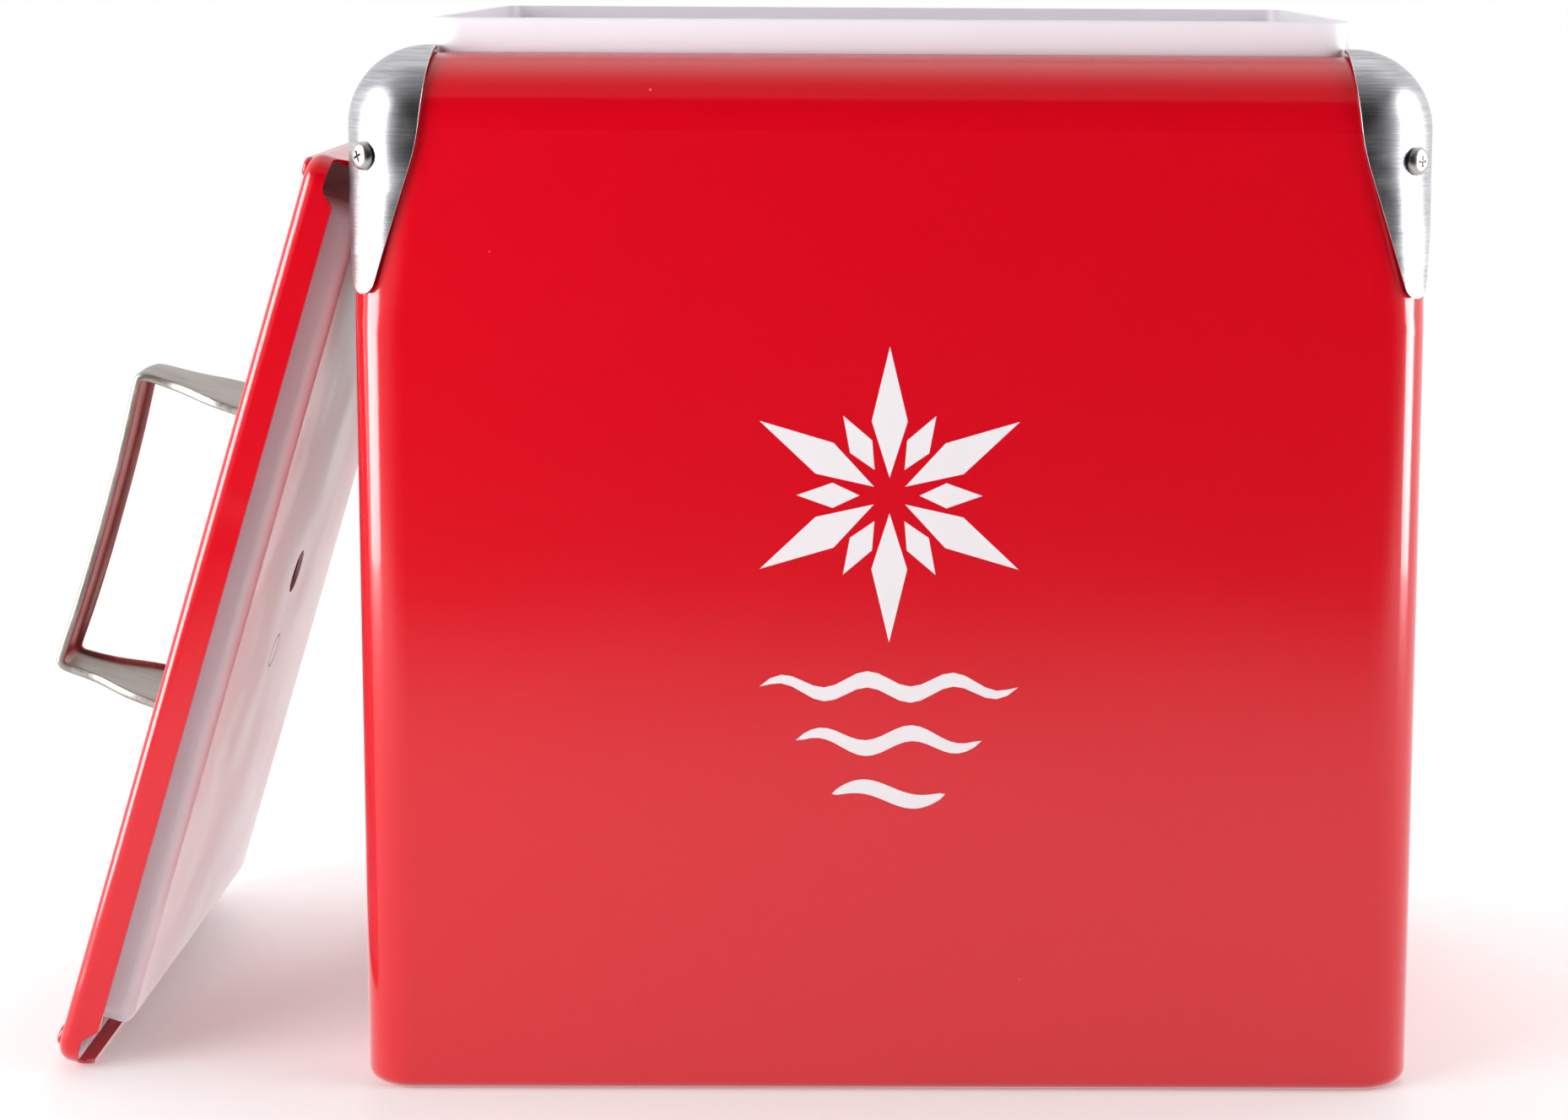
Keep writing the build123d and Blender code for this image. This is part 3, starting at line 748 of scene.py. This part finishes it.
class COOLER_OT_cabinet(bpy.types.Operator):
    """Finish the cabinet's sheet metal, the liners, the foam and the plugs"""

    bl_idname = "cooler.cabinet"
    bl_label = "Cabinet"

    def execute(self, context):
        foam = soft_plastic("cream_polyurethane_foam", "#E9DDB4", 0.9, 500.0)
        dark = soft_plastic("dark_polyethylene_plug", "#3A353B", 0.5, 300.0)
        paint(red_enamel(), "body_shell", "base_pan")
        paint(moulded_white(), "liner")
        paint(moulded_white("white_moulded_polystyrene_plug", 0.22), "lid_liner")
        paint(foam, "body_insulation", "lid_insulation")
        paint(dark, "base_fill_plug", "lid_fill_plug")
        return {"FINISHED"}


class COOLER_OT_lid(bpy.types.Operator):
    """Round the cut edges of the lid's sheet and finish it"""

    bl_idname = "cooler.lid"
    bl_label = "Lid"

    def execute(self, context):
        bm = node_copy("lid_shell")
        soften_edges(bm, LID_ROUNDING)
        lid = to_object("lid_top", bm)
        enamel = red_enamel("red_stove_enamel_lid", knocked=True)
        finish_piece(lid, enamel, "lid", ("lid_shell",))
        even_shading(lid)
        return {"FINISHED"}


class COOLER_OT_lining(bpy.types.Operator):
    """Line the inside of the lid's skirt with the flange's own turned-down wall"""

    bl_idname = "cooler.lining"
    bl_label = "Skirt Lining"

    def execute(self, context):
        low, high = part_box("lid_shell")
        bm = bmesh.new()
        bmesh.ops.create_grid(bm, x_segments=1, y_segments=1, size=0.5)
        inset = 2 * (SKIRT_SHEET + SKIRT_FIT)
        size = (LID_LENGTH - inset, high.y - low.y - inset, 1)
        bmesh.ops.scale(bm, vec=size, verts=bm.verts)
        bmesh.ops.translate(bm, vec=(0, 0, LINING_FOOT), verts=bm.verts)
        bmesh.ops.bevel(
            bm,
            geom=bm.verts[:],
            offset=LINING_CORNER,
            offset_type="OFFSET",
            affect="VERTICES",
            segments=6,
            profile=0.5,
            material=-1,
        )
        floor = bm.faces[:]
        wall = bmesh.ops.extrude_edge_only(bm, edges=bm.edges[:])["geom"]
        raised = [g for g in wall if isinstance(g, bmesh.types.BMVert)]
        bmesh.ops.delete(bm, geom=floor, context="FACES_ONLY")
        bmesh.ops.translate(bm, vec=(0, 0, LINING_TOP - LINING_FOOT), verts=raised)
        bmesh.ops.recalc_face_normals(bm, faces=bm.faces)
        bmesh.ops.transform(bm, matrix=lid_matrix(), verts=bm.verts)
        lining = to_object("lid_skirt_lining", bm)
        finish_piece(lining, moulded_white(), "lid")
        solidify(lining, LINING_WALL)
        return {"FINISHED"}


class COOLER_OT_guards(bpy.types.Operator):
    """Finish the corner guards, and all the screws and the hardware behind the sheet"""

    bl_idname = "cooler.guards"
    bl_label = "Corner Guards and Hardware"

    def guards(self, corner, screw_height):
        """The four guards, with bright rounded edges except round their screw holes."""
        # scratches run round the corner, under 0.4 mm apart down it
        aluminium = brushed_metal(
            "brushed_aluminium_sheet", "#CACACE", 300.0, (0.2, 0.2, 9.0), 0.33
        )
        cut_edge = bright_metal("bare_aluminium_cut_edge", "#F2F1F4", 0.3)

        def near_screw(co):
            """Whether a point lies at a screw's hole, as seen along the screw."""
            past = Vector((abs(co.x) - corner.x, abs(co.y) - corner.y, 0))
            aside = abs(past.x - past.y) / sqrt(2)
            return Vector((aside, co.z - screw_height, 0)).length < SCREW_HOLE_REACH

        for place in ("front_left", "front_right", "back_left", "back_right"):
            bm = node_copy(f"{place}_guard")
            for face in soften_edges(bm, GUARD_ROUNDING, skip=near_screw):
                face.material_index = 1
            guard = to_object(f"{place}_corner_guard", bm)
            finish_piece(guard, aluminium, "cabinet", (f"{place}_guard",))
            guard.data.materials.append(cut_edge)
            even_shading(guard)

    def guard_seats(self, corner, screw_height):
        """Where the guards' screws sit, and the way they point."""
        for x_sign, y_sign in ((-1, -1), (1, -1), (-1, 1), (1, 1)):
            outward = Vector((x_sign, y_sign, 0)).normalized()
            centre = Vector((x_sign * corner.x, y_sign * corner.y, screw_height))
            yield centre + outward * (ROLL_RADIUS + GUARD_STAND), outward

    def handle_seats(self, half_span):
        """Where the handle's screws sit, and the way they point."""
        matrix = lid_matrix()
        outward = matrix.to_3x3() @ Vector((0, 0, 1))
        along = half_span + HANDLE_SCREW_REACH
        height = LID_HEIGHT + HANDLE_SCREW_SEAT
        for x_sign in (-1, 1):
            for y_sign in (-1, 1):
                seat = Vector((x_sign * along, y_sign * HANDLE_SCREW_ASIDE, height))
                yield matrix @ seat, outward

    def execute(self, context):
        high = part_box("body_shell")[1]
        corner = Vector((high.x - ROLL_RADIUS, high.y - ROLL_RADIUS, 0))
        screw_height = high.z - GUARD_SCREW_DROP
        self.guards(corner, screw_height)
        chrome = bright_metal("nickel_plated_screws", "#BDBAB8", 0.32)
        zinc = bright_metal("zinc_plated_steel", "#B9BAB6", 0.4)
        seats = self.guard_seats(corner, screw_height)
        screw = screw_mesh(GUARD_SHANK)
        place_screws("guard_pan_screws", screw, seats, chrome, "cabinet", "guard_screws")
        seats = self.handle_seats(context.scene.cooler_handle.span / 2)
        screw = screw_mesh(HANDLE_SHANK)
        place_screws("handle_pan_screws", screw, seats, chrome, "lid", "handle_screws")
        paint(zinc, "guard_clip_nuts", "handle_backing_plates", "handle_washers", "handle_nuts")
        return {"FINISHED"}


class COOLER_OT_handle(bpy.types.Operator):
    """Finish the strap handle"""

    bl_idname = "cooler.handle"
    bl_label = "Handle"

    def half_path(self, size):
        """Stations along half of the strap, foot to grip: place, direction, half width and lip."""
        half = size.span / 2
        foot = LID_HEIGHT + size.sheet
        top = LID_HEIGHT + size.rise
        into_bend, round_bend = FOOT_BEND_HALF_WIDTHS
        first_lip, lip_step = FOOT_BEND_LIPS
        stations = [
            ((half + reach, foot), (-1, 0), FOOT_HALF_WIDTH, 0.0) for reach in FOOT_REACHES
        ]
        stations.append(((half + FOOT_BEND, foot), (-1, 0), into_bend, first_lip))
        for step in (1, 2, 3):
            angle = step / 4 * pi / 2
            x = half + FOOT_BEND * (1 - sin(angle))
            z = foot + FOOT_BEND * (1 - cos(angle))
            lip = first_lip + lip_step * step
            stations.append(((x, z), (-cos(angle), sin(angle)), round_bend, lip))
        # the leg draws in from the wide foot to the narrow grip in one smooth curve
        for height, width in LEG_WIDTHS:
            stations.append(((half, LID_HEIGHT + height * MM), (0, 1), width * MM, 1.0))
        for step in (1, 2, 3, 4):
            angle = step / 5 * pi / 2
            x = half - GRIP_BEND * (1 - cos(angle))
            z = top - GRIP_BEND * (1 - sin(angle))
            stations.append(((x, z), (-sin(angle), cos(angle)), GRIP_BEND_HALF_WIDTH, 1.0))
        # the grip dips a little between its bends
        for x, dip in GRIP_DIPS:
            stations.append(((x * MM, top - dip * MM), (-1, 0), GRIP_HALF_WIDTH, 1.0))
        return stations

    def section(self, width, depth, lip):
        """Half widths and heights across the strap: lips turned down, face a little crowned."""
        turned = min(depth, LIP_ROUNDING)
        half = [
            (width, -depth),
            (width, -turned),
            (width - LIP_ROUNDING * 0.4, -LIP_ROUNDING * 0.12 * lip),
            (width - LIP_ROUNDING * 1.6, 0.0),
            (width * SHOULDER_SHARE, CROWN_SHOULDER * lip),
        ]
        return [(-y, h) for y, h in half] + [(0.0, CROWN * lip)] + half[::-1]

    def execute(self, context):
        size = context.scene.cooler_handle
        half_path = self.half_path(size)
        stations = half_path + [
            ((-x, z), (dx, -dz), width, lip)
            for (x, z), (dx, dz), width, lip in reversed(half_path)
        ]
        bm = bmesh.new()
        previous = None
        for (x, z), (dx, dz), width, lip in stations:
            # outward is a quarter turn from the direction of the path
            out = Vector((dz, 0, -dx))
            centre = Vector((x, 0, z))
            section = self.section(width, size.lip * lip, lip)
            places = [centre + Vector((0, y, 0)) + out * h for y, h in section]
            if previous is None:
                row = [bm.verts.new(place) for place in places]
                edges = [bm.edges.new(pair) for pair in zip(row, row[1:])]
            else:
                grown = bmesh.ops.extrude_edge_only(bm, edges=edges)["geom"]
                edges = [g for g in grown if isinstance(g, bmesh.types.BMEdge)]
                fresh = [g for g in grown if isinstance(g, bmesh.types.BMVert)]
                # the fresh vertices still lie on those they grew from, and keep their order
                row = sorted(fresh, key=lambda vert: nearest(previous, vert))
                for vert, place in zip(row, places):
                    vert.co = place
            previous = row
        bmesh.ops.recalc_face_normals(bm, faces=bm.faces)
        bmesh.ops.transform(bm, matrix=lid_matrix(), verts=bm.verts)
        strap = to_object("strap_handle", bm)
        brushed = brushed_metal(
            "brushed_stainless_strap", "#B9B2AB", 220.0, (0.12, 12.0, 0.12), 0.42
        )
        finish_piece(strap, brushed, "lid", ("handle",))
        solidify(strap, size.sheet)
        subdivide(strap, 2)
        return {"FINISHED"}


class COOLER_OT_motif(bpy.types.Operator):
    """Print a generic ice star over ripples on the cabinet's front"""

    bl_idname = "cooler.motif"
    bl_label = "Front Motif"

    def execute(self, context):
        size = context.scene.cooler_motif
        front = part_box("body_shell")[0].y - MOTIF_CLEARANCE
        centre = Vector((0, front, size.star_height))
        reach = size.star_radius
        bm = bmesh.new()
        for step in range(PETALS):
            angle = pi / 2 + step * FULL_TURN / PETALS
            shares = SHORT_PETAL if step % 2 else LONG_PETAL
            petal(bm, centre, angle, *(reach * share for share in shares))
        for row, share in enumerate(RIPPLE_SHARES):
            height = size.star_height - reach - (RIPPLE_DROP_MM + row * RIPPLE_PITCH_MM) * MM
            ripple(bm, front, height, size.ripple_width * share / 2, 3 - row)
        bmesh.ops.remove_doubles(bm, verts=bm.verts, dist=0.01 * MM)
        bmesh.ops.recalc_face_normals(bm, faces=bm.faces)
        for face in bm.faces:
            if face.normal.y > 0:
                face.normal_flip()
        walls = bmesh.ops.extrude_face_region(bm, geom=list(bm.faces))
        lifted = [g for g in walls["geom"] if isinstance(g, bmesh.types.BMVert)]
        bmesh.ops.translate(bm, verts=lifted, vec=(0, -size.film, 0))
        bmesh.ops.recalc_face_normals(bm, faces=bm.faces)
        piece = to_object("front_motif", bm)
        finish_piece(piece, printing_ink(), "cabinet", smooth=False)
        return {"FINISHED"}


class COOLER_PT_panel(bpy.types.Panel):
    """Lists the cooler's steps"""

    bl_idname = "COOLER_PT_panel"
    bl_label = "Picnic Cooler"
    bl_space_type = "VIEW_3D"
    bl_region_type = "UI"
    bl_category = "Cooler"

    def draw(self, context):
        column = self.layout.column()
        for settings in (
            context.scene.cooler_finish,
            context.scene.cooler_motif,
            context.scene.cooler_handle,
        ):
            for name in settings.__annotations__:
                column.prop(settings, name)
        for operator in OPERATORS:
            column.operator(operator.bl_idname)


OPERATORS = (
    COOLER_OT_stage,
    COOLER_OT_cabinet,
    COOLER_OT_lid,
    COOLER_OT_lining,
    COOLER_OT_guards,
    COOLER_OT_handle,
    COOLER_OT_motif,
)
CLASSES = (CoolerFinish, CoolerMotif, CoolerHandle, *OPERATORS, COOLER_PT_panel)


def register():
    for cls in CLASSES:
        bpy.utils.register_class(cls)
    bpy.types.Scene.cooler_finish = bpy.props.PointerProperty(type=CoolerFinish)
    bpy.types.Scene.cooler_motif = bpy.props.PointerProperty(type=CoolerMotif)
    bpy.types.Scene.cooler_handle = bpy.props.PointerProperty(type=CoolerHandle)


def unregister():
    del bpy.types.Scene.cooler_handle
    del bpy.types.Scene.cooler_motif
    del bpy.types.Scene.cooler_finish
    for cls in reversed(CLASSES):
        bpy.utils.unregister_class(cls)


def main():
    register()
    bpy.ops.cooler.stage()
    bpy.ops.cooler.cabinet()
    bpy.ops.cooler.lid()
    bpy.ops.cooler.lining()
    bpy.ops.cooler.guards()
    bpy.ops.cooler.handle()
    bpy.ops.cooler.motif()


if __name__ == "__main__":
    main()
